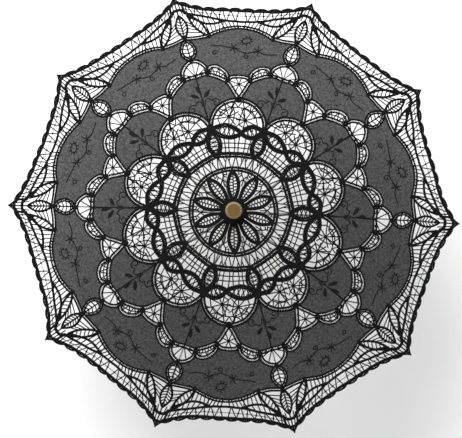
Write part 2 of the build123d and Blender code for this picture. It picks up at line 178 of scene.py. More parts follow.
# %% The share of a line that lies over one rib
def one_side(line, side):
    """What of a line lies on this rib's side of the next mid-panel."""
    pieces, run = [], []
    room = [p.imag * SIN_HALF - side * p.real * COS_HALF for p in line]
    for a, b, room_a, room_b in zip(line, line[1:], room, room[1:]):
        if room_a >= 0 and not run:
            run = [a]
        if (room_a >= 0) != (room_b >= 0):
            cross = a + (b - a) * room_a / (room_a - room_b)
            if room_a >= 0:
                pieces.append(run + [cross])
                run = []
            else:
                run = [cross, b]
        elif room_b >= 0:
            run.append(b)
    return pieces + ([run] if len(run) > 1 else [])


def over_rib(line):
    """What of a line lies over this rib, up to the middle of the panel on each side."""
    pieces = [line]
    for side in (-1, 1):
        pieces = [kept for piece in pieces for kept in one_side(piece, side)]
    return pieces


whole_turn = [polar(100, d) for d in range(361)]
print("of a circle 200 mm across,", round(sum(map(length_of, over_rib(whole_turn)))), "mm lie over one rib")

# %% [markdown]
# ## The pattern of one panel
#
# The tape is woven with a firm cord along each edge and an open ladder between them, so it is drawn as two
# edge cords and rungs. `drawing` collects the lines by the thickness of the thread that lies along them.
# Knots are the places where several tapes are sewn together.

# %% Thread sizes and the drawing
TAPE = 5.1                  # between the middles of a tape's edge cords
STAR_TAPE = 2.9
BEAD_TAPE = 4.0
RUNG_EVERY = 2.6
RADII = {"cord": 2.1, "rope": 2.05, "edge": 1.65, "bar": 1.2, "thread": 1.0, "rung": 0.5, "stitch": 0.95}
SHARP = 0.5                 # cosine of the sharpest turn that one thread takes
drawing = {kind: [] for kind in RADII}
knots = []                  # middle and radius
print("threads are", {kind: 2 * radius for kind, radius in RADII.items()}, "mm thick")


def legs(line):
    """The line cut at its sharp corners, where a thread is fastened and turns back."""
    pieces, start = [], 0
    for i in range(1, len(line) - 1):
        bend = (line[i + 1] - line[i]) / (line[i] - line[i - 1])
        if bend.real < SHARP * abs(bend):
            pieces.append(line[start:i + 1])
            start = i
    return pieces + [line[start:]]


def add(kind, *lines):
    """Lines of one thickness."""
    for line in lines:
        drawing[kind] += legs(line)


def in_both_panels(kind, *lines):
    """A line of the panel on the right, and the same one of the panel on the left."""
    for line in lines:
        add(kind, line, turned(line, -2 * HALF_PANEL))


def tape(line, width=TAPE, put=add, kind="edge"):
    """A woven tape along a line."""
    left, right = beside(line, width / 2), beside(line, -width / 2)
    put(kind, left, right)
    count = max(2, round(length_of(line) / RUNG_EVERY))
    for i in range(count):
        share = (i + 0.5) / count
        put("rung", [at(left, share), at(right, share)])


def knot(point, radius, both=False):
    """A knot at a point and, if both, at the same point of the panel on the left."""
    knots.append((point, radius))
    if both:
        knots.append((turned([point], -2 * HALF_PANEL)[0], radius))


corner = [0, 10, 10 + 10j]
print("a square corner is sewn in", len(legs(corner)), "legs")


# %% Fillings that the pattern repeats
def zigzag(first, second, count, put=add, start=0):
    """One thread that goes to and fro between two lines."""
    put("thread", [at(second if (i + start) % 2 else first, (i + 0.5) / count) for i in range(count)])


def net(sides, count, put=add):
    """Two zigzags that cross, as in the small openings."""
    zigzag(sides[0], sides[1], count, put)
    zigzag(sides[0], sides[1], count, put, start=1)


def bead(start, end, half, put=add, fullest=0.5, meshes=7):
    """An oval of tape with a net in it."""
    sides = leaf(start, end, half, fullest)
    for side in sides:
        tape(side, BEAD_TAPE, put, "rope")
    net(sides, meshes, put)


def spider(node, inside, rays, first=0.0, reach=60, put=add):
    """Threads from a knot to the edge of the opening it hangs in. Returns their ends."""
    ends = []
    for i in range(rays):
        direction = cmath.exp(1j * math.radians(first + 360 * i / rays))
        far = next((d for d in range(2, reach) if not inside(node + direction * d)), reach)
        ends.append(node + direction * far)
        put("thread", [node, ends[-1]])
    return ends


def herringbone(sides, count, lean=0.12):
    """A vein down the middle with slanting threads to both sides."""
    vein = [(a + b) / 2 for a, b in zip(*sides)]
    add("thread", vein)
    for i in range(1, count):
        share = i / count
        for side in sides:
            add("thread", [at(vein, share), at(side, min(1, share + lean))])


def two_columns(sides, count):
    """A vein with cross threads to both sides in turn, so the openings stand in two columns."""
    vein = [(a + b) / 2 for a, b in zip(*sides)]
    add("thread", vein)
    for i in range(1, 2 * count):
        add("thread", [at(vein, i / (2 * count)), at(sides[i % 2], (i + 0.7) / (2 * count + 1))])


print("fillings:", [filling.__name__ for filling in (zigzag, net, bead, spider, herringbone, two_columns)])

# %% [markdown]
# ### Crown star and the two rings
#
# Ten long loops of tape stand round the shaft and touch the first ring. Between the first and the second ring
# runs a band of threads laid to and fro. The second ring is pulled out a little at each rib. The narrow gaps
# between two loops are held open by a few threads that fork.

# %% Star, rings and the band between them
RING_1, RING_2, RING_2_CORNER = 72.5, 97.0, 99.5
STAR_TURN = -4.0            # the star isn't quite in line with the panels
star = HALF_PANEL + STAR_TURN


def ring_2(degrees):
    """The second ring, which comes to a soft corner at the rib."""
    return polar(RING_2 + (RING_2_CORNER - RING_2) * (1 - abs(degrees) / HALF_PANEL) ** 2, degrees)


for centre in (star, star - 2 * HALF_PANEL):
    loop = leaf(polar(12, centre), polar(RING_1 - 3, centre), 8.6, fullest=0.58)
    for side in loop:
        tape(side, STAR_TAPE)
    two_columns(loop, 11)
    knot(polar(RING_1 - 4, centre), 4.2)
tape([polar(RING_1, d) for d in range(-20, 21, 2)], kind="rope")
tape([ring_2(d) for d in range(-18, 19, 2)], kind="rope")
for i in range(4):
    foot = 9 * i - HALF_PANEL
    head = foot + 4.5
    add("thread", [ring_2(foot), polar(RING_1, head), ring_2(foot + 9)])
    if i % 2:
        add("thread", [polar(86, foot + 1.9), ring_2(foot + 3.8)])
    else:
        add("thread", [polar(86, foot + 7.1), ring_2(foot + 5)])
print("lines so far", {kind: len(lines) for kind, lines in drawing.items()})


# %% Forked threads between two loops
def gap(radius, degrees):
    """A point in the gap between two loops of the star, in degrees from the middle of the gap."""
    return polar(radius, STAR_TURN + degrees)


fork = gap(57, 0)
add("thread", [gap(59, -8), gap(63, -4.5), fork, gap(63, 4.5), gap(59, 8)])
for side in (-1, 1):
    add("thread", [gap(63, 4.5 * side), gap(RING_1, 5.5 * side)])
    add("thread", [gap(66, 4.9 * side), gap(63, 9.5 * side), gap(RING_1, 9.5 * side)])
    add("thread", [fork, gap(48, 8 * side)])
add("thread", [fork, gap(44, 0)])
print("with the forks there are", len(drawing["thread"]), "threads")

# %% [markdown]
# ### Flower of beads round the second ring
#
# A bead of tape lies on each rib, and two more join it to the next rib. They meet a little past the middle of
# the panel. The space inside them has a square net.

# %% Beads
RIB_KNOT, MID_KNOT = 146.0, 193.5
MEETING = polar(135, HALF_PANEL + 3)
bead(polar(98, 0), polar(142, 0), 10.0)
knot(polar(RIB_KNOT - 1, 0), 8.2)
knot(polar(99, 0), 4.0)
bead(polar(RIB_KNOT, 1), MEETING, 10.0, put=in_both_panels)
bead(MEETING, polar(RIB_KNOT, 2 * HALF_PANEL - 1), 9.6, put=in_both_panels, meshes=6)
knot(MEETING, 4.0, both=True)
print("the beads to the next rib are", round(abs(MEETING - polar(RIB_KNOT, 1))), "mm long")


# %% Square net between the beads and the second ring
def cross_thread(radius):
    """From bead to bead, with a slack of 2 mm."""
    return [polar(radius - 2 * math.sin(math.radians((d - 3) * 6)), d) for d in range(4, 33, 4)]


def outward_thread(degrees, lean):
    """From the second ring to the beads, which lie nearer the shaft away from where they meet."""
    return [polar(96, degrees), polar(112, degrees + lean), polar(133 - abs(degrees - 21) * 0.4, degrees)]


for radius in (104, 112, 120):
    in_both_panels("thread", cross_thread(radius))
for i, degrees in enumerate((8, 12, 16, 20, 24.5, 29)):
    in_both_panels("thread", outward_thread(degrees, (0.7, -0.5)[i % 2]))
print("a cross thread is", round(length_of(cross_thread(112))), "mm long")

# %% [markdown]
# ### Web rounds
#
# A round of tape springs from each rib's knot over the middle of the panel. In it two knots hang in webs of
# threads, with cross threads between their rays, and a thread runs to and fro along the tape.

# %% Round of tape
ROUND_C = polar(147.5, HALF_PANEL)
ROUND_R = 46.0
first_angle = cmath.phase(polar(RIB_KNOT, 0) - ROUND_C)
last_angle = cmath.phase(polar(RIB_KNOT, 2 * HALF_PANEL) - ROUND_C)
first_angle += 2 * math.pi if first_angle < last_angle else 0
sweep = last_angle - first_angle
web_round = [ROUND_C + ROUND_R * cmath.exp(1j * (first_angle + sweep * i / 40)) for i in range(41)]
tape(web_round, put=in_both_panels, kind="rope")
knot(polar(MID_KNOT, HALF_PANEL), 6.0, both=True)
print("a round takes", round(length_of(web_round)), "mm of tape")

# %% Two spiders in each round
RAYS, CROSSING = 9, 0.62    # threads from each knot, and where along them the cross threads are tied
spiders = [polar(163, HALF_PANEL - 5.2), polar(158, HALF_PANEL + 4.6)]


def in_round(side):
    """A test for the half of the round that this spider's threads reach."""
    middle = (spiders[0] + spiders[1]) / 2
    away = (spiders[side] - middle) / abs(spiders[side] - middle)

    def reached(p):
        near = ((p - middle) / away).real > 0
        return near and abs(p - ROUND_C) < ROUND_R and abs(p) > 139

    return reached


for side in (0, 1):
    ends = spider(spiders[side], in_round(side), RAYS, first=14 + 25 * side, put=in_both_panels)
    for i in range(RAYS):
        pair = [spiders[side] + (end - spiders[side]) * CROSSING for end in (ends[i], ends[(i + 1) % RAYS])]
        in_both_panels("thread", pair)
    knot(spiders[side], 1.5, both=True)
in_both_panels("thread", spiders)
print("with the spiders there are", len(drawing["thread"]), "threads")


# %% The thread along the round
WEB_R = ROUND_R - 14


def round_line(radius, from_degrees, to_degrees):
    """A line round the middle of the web round, in degrees from straight outwards."""
    out = ROUND_C / abs(ROUND_C) * radius
    turns = [from_degrees + (to_degrees - from_degrees) * i / 24 for i in range(25)]
    return [ROUND_C + out * cmath.exp(-1j * math.radians(turn)) for turn in turns]


zigzag(round_line(ROUND_R - 1, -75, 75), round_line(WEB_R, -75, 75), 15, put=in_both_panels)
in_both_panels("thread", round_line(WEB_R, -60, 60)[::3])
for node_point, turn_degrees in zip(spiders, (-10, 10)):
    in_both_panels("thread", [node_point, round_line(WEB_R, turn_degrees, 0)[0]])
print("the zigzag's inner line is", round(length_of(round_line(WEB_R, -75, 75))), "mm long")

# %% [markdown]
# ### Petal edge and the chain of beads
#
# The sheer petal over each rib is edged with tape. Outside it runs a chain of half-round beads: a fan over
# the petal's tip, a bead on each shoulder, and a three-cornered one between two petals.

# %% Petal edge, fan, shoulders and corner beads
PETAL_TIP = 244.5
TOP_KNOT = polar(246, 5.0)
SIDE_KNOT = polar(229, 13.0)
CORNER = polar(MID_KNOT, HALF_PANEL)
petal_half = smooth([polar(PETAL_TIP, 0), TOP_KNOT - 1.5j, SIDE_KNOT - 3, polar(209, 15.6), CORNER])
fan_half = smooth([polar(274, 0), polar(269.5, 2.4), polar(259, 4.6), TOP_KNOT])
shoulder = smooth([TOP_KNOT, polar(256, 6.2), polar(256.5, 8.8), polar(250, 11.3), polar(239, 13.2),
                   SIDE_KNOT])
corner_edge = smooth([SIDE_KNOT, polar(235, 14.8), polar(236.5, HALF_PANEL)])
chord = smooth([TOP_KNOT, (TOP_KNOT + SIDE_KNOT) / 2 + 0.5j, SIDE_KNOT])
for line in (petal_half, fan_half, shoulder, corner_edge):
    tape(line)
    tape(mirrored(line))
for point in (TOP_KNOT, SIDE_KNOT):
    knot(point, 4.2)
    knot(mirrored([point])[0], 4.2)
knot(polar(275, 0), 4.0)
print("half a petal's edge takes", round(length_of(petal_half)), "mm of tape")

# %% Threads in the fan and in the shoulder beads
for flip in (list, mirrored):
    for share in (0.35, 0.75):
        add("thread", flip([polar(PETAL_TIP, 0), at(fan_half, share)]))
    add("thread", flip([at(petal_half, 0.1), at(fan_half, 0.9)]))
    zigzag(flip(shoulder), flip(chord), 9)
    add("thread", flip([(at(shoulder, i / 8) + at(chord, i / 8)) / 2 for i in range(1, 8)]))
print("now there are", len(drawing["thread"]), "threads")

# %% Spider in the three-cornered bead, and the bar along the rib
CORNER_NODE = polar(222, HALF_PANEL)
CORNER_TOP, CORNER_SPREAD = 235, 0.52       # how far out it reaches, and its half width for each mm outwards


def in_corner(p):
    """True inside the three-cornered opening between two petals."""
    aside = abs((p / CORNER_NODE).imag) * abs(CORNER_NODE)
    return abs(p) < CORNER_TOP and aside < (abs(p) - MID_KNOT) * CORNER_SPREAD


corner_ends = spider(CORNER_NODE, in_corner, 8, first=6, reach=30, put=in_both_panels)
knot(CORNER_NODE, 2.4, both=True)
add("bar", [polar(150, 0), polar(PETAL_TIP, 0)])
print("the longest thread in the corner is", max(round(abs(end - CORNER_NODE)) for end in corner_ends), "mm")

# %% [markdown]
# ### Leaf on the rib and the edge of the border cloth
#
# A leaf of tape lies on the rib between the fan and the border. The outer cloth ends at a scalloped tape,
# with a cusp on each side of the rib and one long bulge over the middle of the panel.

# %% Rib leaf and the scalloped cloth edge
LEAF_FOOT, LEAF_HEAD = 276.0, 315.0
rib_leaf = leaf(polar(LEAF_FOOT, 0), polar(LEAF_HEAD, 0), 12.0, fullest=0.44)
for side in rib_leaf:
    tape(side, 4.2)
herringbone(rib_leaf, 6)
CUSP = polar(311.5, 7.6)
cloth_edge = smooth([polar(LEAF_HEAD, 0), polar(311.5, 3.8), CUSP]) + smooth(
    [CUSP, polar(316.5, 10), polar(321.5, 13), polar(324, 16), polar(324.5, HALF_PANEL)]
)[1:]
outside = beside(cloth_edge, 2.2)
for line in (outside, mirrored(outside)):
    tape(line, 4.6)
for point in (CUSP, mirrored([CUSP])[0], polar(LEAF_HEAD, 0)):
    knot(point, 3.2)
print("the cloth's edge is", round(2 * length_of(cloth_edge)), "mm long from mid-panel to mid-panel")

# %% [markdown]
# ### Border lace
#
# Outside the cloth comes an open border. A leaf and two slanting leaves stand at each rib, cords sweep from
# the rib's end to the middle of the panel, and rungs fill the gap next to the cloth.

# %% Border cords and leaves
TIP_NODE = polar(365, 1.9)
sweep_a = smooth([TIP_NODE, polar(357.5, 4.5), polar(349.5, 8), polar(340.5, 12.5), polar(337, HALF_PANEL)])
sweep_b = smooth([polar(358, 2.2), polar(345.5, 5), polar(337.5, 7.2), polar(335.5, 10), polar(339.5, 13.2)])
tip_leaf = leaf(polar(LEAF_HEAD + 1, 0), polar(362, 0), 9.5, fullest=0.52)
slant = leaf(CUSP + 3j, polar(362, 2.3), 6.6, fullest=0.45)
add("cord", *tip_leaf)
herringbone(tip_leaf, 9)
for flip in (list, mirrored):
    add("cord", flip(sweep_a), flip(sweep_b), flip(slant[0]), flip(slant[1]))
print("the sweeping cords are", round(length_of(sweep_a)), "and", round(length_of(sweep_b)), "mm long")

# %% Threads between the leaves, the cords and the cloth
for flip in (list, mirrored):
    for i in range(1, 8):
        add("thread", flip([at(slant[0], i / 8), at(slant[1], (i + 0.8) / 8)]))
    for i in range(1, 7):
        add("thread", flip([at(sweep_a, 0.05 + i * 0.085), at(sweep_b, 0.08 + i * 0.135)]))
    for i in range(10):
        degrees = 8.4 + i
        outer = at(sweep_b, 0.5 + i * 0.11) if i < 5 else at(sweep_a, 0.22 + i * 0.078)
        add("thread", flip([polar(abs(at(cloth_edge, degrees / HALF_PANEL)), degrees - 0.2), outer]))
    for i in range(1, 5):
        add("thread", flip([at(tip_leaf[1], 0.12 + i * 0.15), at(slant[0], 0.1 + i * 0.12)]))
print("now there are", len(drawing["thread"]), "threads")

# %% [markdown]
# ### Collar at the rib's end
#
# The lace is sewn to the rib's metal tip. Its cords come together in a small collar round the wire, and two
# more run up to the point, with short threads beside them.

# %% Collar cords and threads
collar = smooth([mirrored([TIP_NODE])[0], polar(370.5, -1.1), polar(372, 0), polar(370.5, 1.1), TIP_NODE])
add("cord", collar, beside(collar, 1.4))
upper = smooth([polar(381, -1.6), polar(386, -0.8), polar(387, 0), polar(386, 0.8), polar(381, 1.6)])
add("cord", upper)
for flip in (list, mirrored):
    add("cord", flip([TIP_NODE, polar(381, 1.6)]))
    add("edge", flip([polar(397, 0), polar(390, 0.75), polar(383, 1.9)]))
    add("thread", flip([polar(391, 0), polar(386, 0.9)]))
    knot(flip([TIP_NODE])[0], 3.4)
for degrees in (-1, 0, 1):
    add("thread", [polar(372, degrees), polar(386, degrees * 0.7)])
    add("thread", [polar(359, degrees * 1.2), polar(371, degrees)])
print("the collar's cord is", round(length_of(collar)), "mm long")

# %% [markdown]
# ### Scalloped edging
#
# The rim is an inner cord with a row of small arches sewn to it, five from a rib to the middle of the panel.
# A fine thread with small knots runs half-way between the rim and the sweeping cord, and rungs tie all three.

# %% Rim cord, arches and the knotted band
SCALLOPS, SHOULDER_HEIGHT, ARCH_HEIGHT = 5, 3.0, 4.2
rim = smooth([polar(386, 1.0), polar(377.5, 3.2), polar(369.5, 5.8), polar(363.5, 9), polar(360, 13),
              polar(358.5, HALF_PANEL)])


def arch_over(start, end):
    """One small arch of the edging, seen from the shaft."""
    outwards = (start + end) / abs(start + end)
    first = start + (end - start) * 0.2 + outwards * SHOULDER_HEIGHT
    last = start + (end - start) * 0.8 + outwards * SHOULDER_HEIGHT
    return smooth([start, first, (start + end) / 2 + outwards * ARCH_HEIGHT, last, end])


for flip in (list, mirrored):
    add("cord", flip(rim))
    add("edge", flip(beside(rim, -1.6)))
    for i in range(SCALLOPS):
        start, end = at(rim, i / SCALLOPS), at(rim, (i + 1) / SCALLOPS)
        arch = arch_over(start, end)
        add("edge", flip(arch))
        for share in (0.2, 0.4, 0.6, 0.8):
            add("thread", flip([at(arch, share), start + (end - start) * (share + 0.1)]))
        knot(flip([end])[0], 2.8)
print("one scallop is", round(length_of(rim) / SCALLOPS, 1), "mm long")

# %% Knotted band between the rim and the sweeping cord
BAND_STEPS = 14
LEANS = (0.5, -0.4, 0.2, -0.6)              # how far the threads lean, in steps
band = [(at(rim, i / BAND_STEPS) + at(sweep_a, i / BAND_STEPS)) / 2 for i in range(BAND_STEPS + 1)]
for flip in (list, mirrored):
    add("rung", flip(band))
    for i in range(1, BAND_STEPS):
        lean = LEANS[i % len(LEANS)]
        if i % 2:
            knot(flip([band[i]])[0], 1.9)
        add("thread", flip([at(rim, (i - lean) / BAND_STEPS), band[i], at(sweep_a, (i + lean) / BAND_STEPS)]))
print("the drawing has", {kind: len(lines) for kind, lines in drawing.items()}, "lines")
print("and", len(knots), "knots")

# %% [markdown]
# ## From the flat drawing to thread on the dome
#
# Hand work is never quite even. Each point moves by a slow and a quick wave of noise that depends only on
# where it is on the whole canopy, so lines still meet from panel to panel.

# %% Lay a point on the dome
DRIFT, TREMBLE = 2.6, 0.6           # of the slow and the quick wave, in millimetres
DRIFT_SIZE, TREMBLE_SIZE = 75, 14   # how far it is from one swing to the next
CALM_RIM = 395                      # nothing moves at the rib's tip


def wave(spot, size, level):
    """A shift that changes slowly with the place on the canopy, the same in every run."""
    x, y = spot.real / size, spot.imag / size
    return complex(noise.noise(Vector((x, y, level))), noise.noise(Vector((x, y, level + 40.3))))


def placed(p, rib, above):
    """A pattern point on the dome, in metres, with the unevenness of hand work."""
    turn = cmath.exp(1j * math.radians(36 * rib))
    spot = -1j * p * turn
    shift = wave(spot, DRIFT_SIZE, 3.1) * DRIFT + wave(spot, TREMBLE_SIZE, 8.7) * TREMBLE
    fade = min(1, max(0, (CALM_RIM - abs(p)) / 40)) * min(1, abs(p) / 60)
    spot += shift * fade
    local = 1j * spot / turn
    return Vector((spot.real, spot.imag, dome(local, above))) * MM


moved = placed(polar(300, 0), 0, 0) / MM
print("a point 300 mm out on rib 1 comes to lie at", [round(v, 1) for v in moved])

# %% [markdown]
# ## Tubes, knots and finished pieces
#
# A thread is thin beside its length, so a curve with a round bevel makes it. All the curves over one rib
# become one mesh. A knot is a ball pressed flat, because it lies on the tapes that it joins.


# %% Make lines into meshes
KNOT_HEIGHT = 1.3           # half of a knot's thickness


def mesh_of(curve):
    """The curve's tubes as a mesh."""
    holder = bpy.data.objects.new(curve.name, curve)
    bpy.context.collection.objects.link(holder)
    ready = holder.evaluated_get(bpy.context.evaluated_depsgraph_get())
    mesh = bpy.data.meshes.new_from_object(ready)
    bpy.data.objects.remove(holder)
    return mesh


def thread_mesh(name, kinds, rib, above):
    """One mesh with every line of these kinds over one rib, as tubes."""
    parts = []
    for kind in kinds:
        curve = bpy.data.curves.new(name + kind, "CURVE")
        curve.dimensions = "3D"
        curve.bevel_depth = RADII[kind] * MM
        curve.bevel_resolution = 0 if kind in ("thread", "rung") else 1
        curve.use_fill_caps = True
        for line in drawing[kind]:
            for piece in over_rib(line):
                spline = curve.splines.new("POLY")
                spline.points.add(len(piece) - 1)
                for point, p in zip(spline.points, piece):
                    point.co = (*placed(p, rib, above), 1)
        parts.append(mesh_of(curve))
    bm = bmesh.new()
    for part in parts:
        bm.from_mesh(part)
    return bm


def add_knots(bm, rib, above):
    """Flattened balls where tapes are sewn together."""
    for middle, radius in knots:
        if abs(middle.real) > middle.imag * TAN_HALF + 0.01:
            continue
        spot = Matrix.Translation(placed(middle, rib, above))
        flat = Matrix.Diagonal((1, 1, min(1.0, KNOT_HEIGHT / radius), 1))
        bmesh.ops.create_icosphere(bm, subdivisions=2, radius=radius * MM, matrix=spot @ flat)


def finished(name, bm, material):
    """A mesh object at the origin with one material."""
    for face in bm.faces:
        face.smooth = True
    mesh = bpy.data.meshes.new(name)
    bm.to_mesh(mesh)
    bm.free()
    obj = bpy.data.objects.new(name, mesh)
    bpy.context.collection.objects.link(obj)
    mesh.materials.append(material)
    return obj


sample = thread_mesh("sample", ("bar",), 0, 0)
print("the bar along a rib is a tube of", len(sample.faces), "faces")
sample.free()

# %% [markdown]
# ## Materials
#
# Everything sewn is black cotton. The sheer cloth is voile, and only a little light comes through between
# its yarns. The ribs and stretchers are steel wire and strip dipped in tin, and the notch, washer, runner and
# rib tips are blacked steel. The stick is turned and varnished hardwood. The finial was turned too, but its
# varnish has worn off, which leaves it dry and grey, and browner on the sawn end.


# %% Colour and node helpers
def srgb(text):
    """A colour from its usual hexadecimal form, in linear light."""
    values = [int(text[i:i + 2], 16) / 255 for i in (1, 3, 5)]
    return (*[v / 12.92 if v <= 0.04045 else ((v + 0.055) / 1.055) ** 2.4 for v in values], 1)


def node(tree, kind, links=(), **settings):
    """Adds a node with its settings. links pairs each input with another node's output."""
    made = tree.nodes.new(kind)
    for key, value in settings.items():
        if key in made.inputs:
            made.inputs[key].default_value = value
        else:
            setattr(made, key, value)
    for key, source in links:
        tree.links.new(source, made.inputs[key])
    return made


def plain(name, colour, roughness, **settings):
    """A material with the same numbers all over."""
    material = bpy.data.materials.new(name)
    material.use_nodes = True
    shader = material.node_tree.nodes["Principled BSDF"]
    shader.inputs["Base Color"].default_value = srgb(colour)
    shader.inputs["Roughness"].default_value = roughness
    for key, value in settings.items():
        shader.inputs[key].default_value = value
    return material


print("mid grey in linear light:", [round(v, 3) for v in srgb("#808080")[:3]])


# %% Cotton, silk and voile
def voile(name, colour, dense, sparse, slub_mm=4.0):
    """Plain weave whose uneven yarns cover a dense and a sparse share of what is behind, in turn."""
    material = plain(name, colour, 0.9, **{"Specular IOR Level": 0.1})
    tree = material.node_tree
    place = node(tree, "ShaderNodeTexCoord")
    where = [("Vector", place.outputs["Object"])]
    slubs = node(tree, "ShaderNodeTexNoise", where, Scale=1 / (slub_mm * MM), Detail=5.0, Roughness=0.75)
    cover = node(tree, "ShaderNodeMapRange", [("Value", slubs.outputs["Fac"])])
    for key, value in (("From Min", 0.3), ("From Max", 0.7), ("To Min", dense), ("To Max", sparse)):
        cover.inputs[key].default_value = value
    tree.links.new(cover.outputs["Result"], tree.nodes["Principled BSDF"].inputs["Alpha"])
    return material


# Spun and dyed: loose fibre ends all round the thread leave it matt, with hardly any highlight.
COTTON = plain("black_cotton", "#0d0d0e", 0.9, **{"Specular IOR Level": 0.12})
# Laid side by side in satin stitch, so it is a little smoother than the spun cotton.
EMBROIDERY = plain("embroidery_silk", "#0c0c0d", 0.7, **{"Specular IOR Level": 0.15})
# Woven from fine hard-twisted yarn. The weave is too fine to show, so its thick and thin places are drawn
# alone, as clouds about 4 mm across.
VOILE = voile("black_voile", "#1d1d1e", 1.0, 0.87)
print("fabrics:", [fabric.name for fabric in (COTTON, EMBROIDERY, VOILE)])

# %% Steel, tin and brass
# Heated in oil until it is black: dark, with a soft shine.
BLACK_STEEL = plain("blacked_steel", "#141415", 0.35, Metallic=0.3)
# Drawn through a die and left bare: bright, with a fine satin.
BRIGHT_STEEL = plain("drawn_steel", "#a9a9a6", 0.35, Metallic=1.0)
# Dipped in tin, which has dulled: a pale and rather matt grey.
RIB_STEEL = plain("tinned_rib_wire", "#9b9c9a", 0.45, Metallic=1.0)
# Rolled, soldered and polished: a clear yellow highlight.
BRASS = plain("collar_brass", "#c9a45c", 0.25, Metallic=1.0)
print("metals:", [metal.name for metal in (BLACK_STEEL, BRIGHT_STEEL, RIB_STEEL, BRASS)])


# %% Turned wood
def wood(name, pale, dark, grain_mm=2.2, coat=0.35, end_colour=None, end_height=None):
    """Wood with its grain along the stick, dry without a coat. Its sawn end may have another colour."""
    material = plain(name, pale, 0.42 if coat else 0.7)
    tree = material.node_tree
    shader = tree.nodes["Principled BSDF"]
    shader.inputs["Coat Weight"].default_value = coat
    shader.inputs["Specular IOR Level"].default_value = 0.5 if coat else 0.15
    shader.inputs["Coat Roughness"].default_value = 0.2
    place = node(tree, "ShaderNodeTexCoord")
    stretch = node(tree, "ShaderNodeMapping", [("Vector", place.outputs["Object"])])
    stretch.inputs["Scale"].default_value = (1, 1, 0.08)
    along = [("Vector", stretch.outputs["Vector"])]
    grain = node(tree, "ShaderNodeTexNoise", along, Scale=1 / (grain_mm * MM), Detail=6.0)
    ramp = node(tree, "ShaderNodeValToRGB", [("Fac", grain.outputs["Fac"])])
    ramp.color_ramp.elements[0].position = 0.35
    ramp.color_ramp.elements[0].color = srgb(dark)
    ramp.color_ramp.elements[1].position = 0.65
    ramp.color_ramp.elements[1].color = srgb(pale)
    colour = ramp.outputs["Color"]
    if end_colour:
        parts = node(tree, "ShaderNodeSeparateXYZ", [("Vector", place.outputs["Object"])])
        above = node(tree, "ShaderNodeMath", [(0, parts.outputs["Z"])], operation="GREATER_THAN")
        above.inputs[1].default_value = end_height
        mix = node(tree, "ShaderNodeMix", [("Factor", above.outputs[0])], data_type="RGBA")
        tree.links.new(colour, mix.inputs[6])
        mix.inputs[7].default_value = srgb(end_colour)
        colour = mix.outputs[2]
    tree.links.new(colour, shader.inputs["Base Color"])
    return material


FINIAL_END = 0.6326         # just under the flat top
# Turned, sanded along the grain and varnished: a warm brown under a thin clear shine.
STICK_WOOD = wood("stick_hardwood", "#a4733c", "#85552a")
# Turned and then worn bare: dry, with hardly any highlight.
FINIAL_WOOD = wood(
    "finial_hardwood", "#8e7f63", "#6a5d45", coat=0, end_colour="#58431f", end_height=FINIAL_END
)
print("woods:", [timber.name for timber in (STICK_WOOD, FINIAL_WOOD)])


# %% Finishes of the frame's parts
def dress(material, *names):
    """Gives the named parts of the frame a finish."""
    for name in names:
        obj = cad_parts[name]
        obj.data.materials.clear()
        obj.data.materials.append(material)


numbers = [f"{i + 1:02d}" for i in range(RIBS)]
dress(STICK_WOOD, "shaft", "handle")
dress(FINIAL_WOOD, "finial")
dress(BRASS, "handle_collar")
dress(BRIGHT_STEEL, "crown_ring_wire", "runner_ring_wire", "catch_pins", "runner_stop_pin")
dress(BRIGHT_STEEL, "top_catch", "low_catch")
dress(BLACK_STEEL, "crown_notch", "crown_washer", "runner", *[f"rib_tip_{n}" for n in numbers])
dress(RIB_STEEL, *[f"{part}_{n}" for part in ("rib", "stretcher") for n in numbers])
dressed = [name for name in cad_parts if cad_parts[name].data.materials[:]]
print(len(dressed), "of", len(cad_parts), "parts have their finish")

# %% [markdown]
# ## The sheer cloth
#
# A petal lies over each rib between the web rounds and the chain of beads, and a wide ring of the same voile
# lies outside the chain. Each is cut from flat cloth and sewn in with slight tension, so it follows the dome
# without folds. A flat grid is mapped between the edges that the pattern drew. Each edge is moved from the
# tape's middle to the cord on the cloth's side, so that the tape's ladder stays open.


# %% Cloth between four edges
def patch(bm, low, high, start, end, columns, rows, rib, above):
    """A grid between four pattern lines: low and high run across, start and end run outwards."""
    made = bmesh.ops.create_grid(bm, x_segments=columns, y_segments=rows, size=0.5)
    for vert in made["verts"]:
        s, t = min(1, max(0, vert.co.x + 0.5)), min(1, max(0, vert.co.y + 0.5))
        p = (1 - t) * at(low, s) + t * at(high, s) + (1 - s) * at(start, t) + s * at(end, t)
        p -= (1 - s) * (1 - t) * low[0] + s * (1 - t) * low[-1] + (1 - s) * t * high[0] + s * t * high[-1]
        vert.co = placed(p, rib, above)


def spread(line, count=40):
    """The same line with evenly spaced points."""
    return [at(line, i / count) for i in range(count + 1)]


def aside(p):
    """How far to the left of mid-panel a point is."""
    return (p / polar(1, HALF_PANEL)).imag


# %% Edges of the petal and of the border cloth
SEAM = 2.2                  # from the tape's middle to where the cloth is sewn on
near_round = [p for p in web_round if abs(p) >= RIB_KNOT - 1 and aside(p) > -0.01]
near_round.sort(key=aside, reverse=True)
petal_low = spread([ROUND_C + (p - ROUND_C) * (1 + SEAM / ROUND_R) for p in near_round])
petal_high = spread([p * (1 - SEAM / abs(p)) for p in petal_half])
petal_edges = petal_low, petal_high, [petal_low[0], petal_high[0]], [petal_low[-1], petal_high[-1]]
border_low = spread([p * (1 + SEAM / abs(p)) for p in fan_half + shoulder[1:] + corner_edge[1:]])
border_high = spread(cloth_edge)
border_edges = border_low, border_high, spread(rib_leaf[1]), [border_low[-1], border_high[-1]]
print("a petal is", round(abs(petal_high[0] - petal_low[0])), "mm long on the rib")
print("the border cloth is", round(abs(border_high[-1] - border_low[-1])), "mm wide in mid-panel")

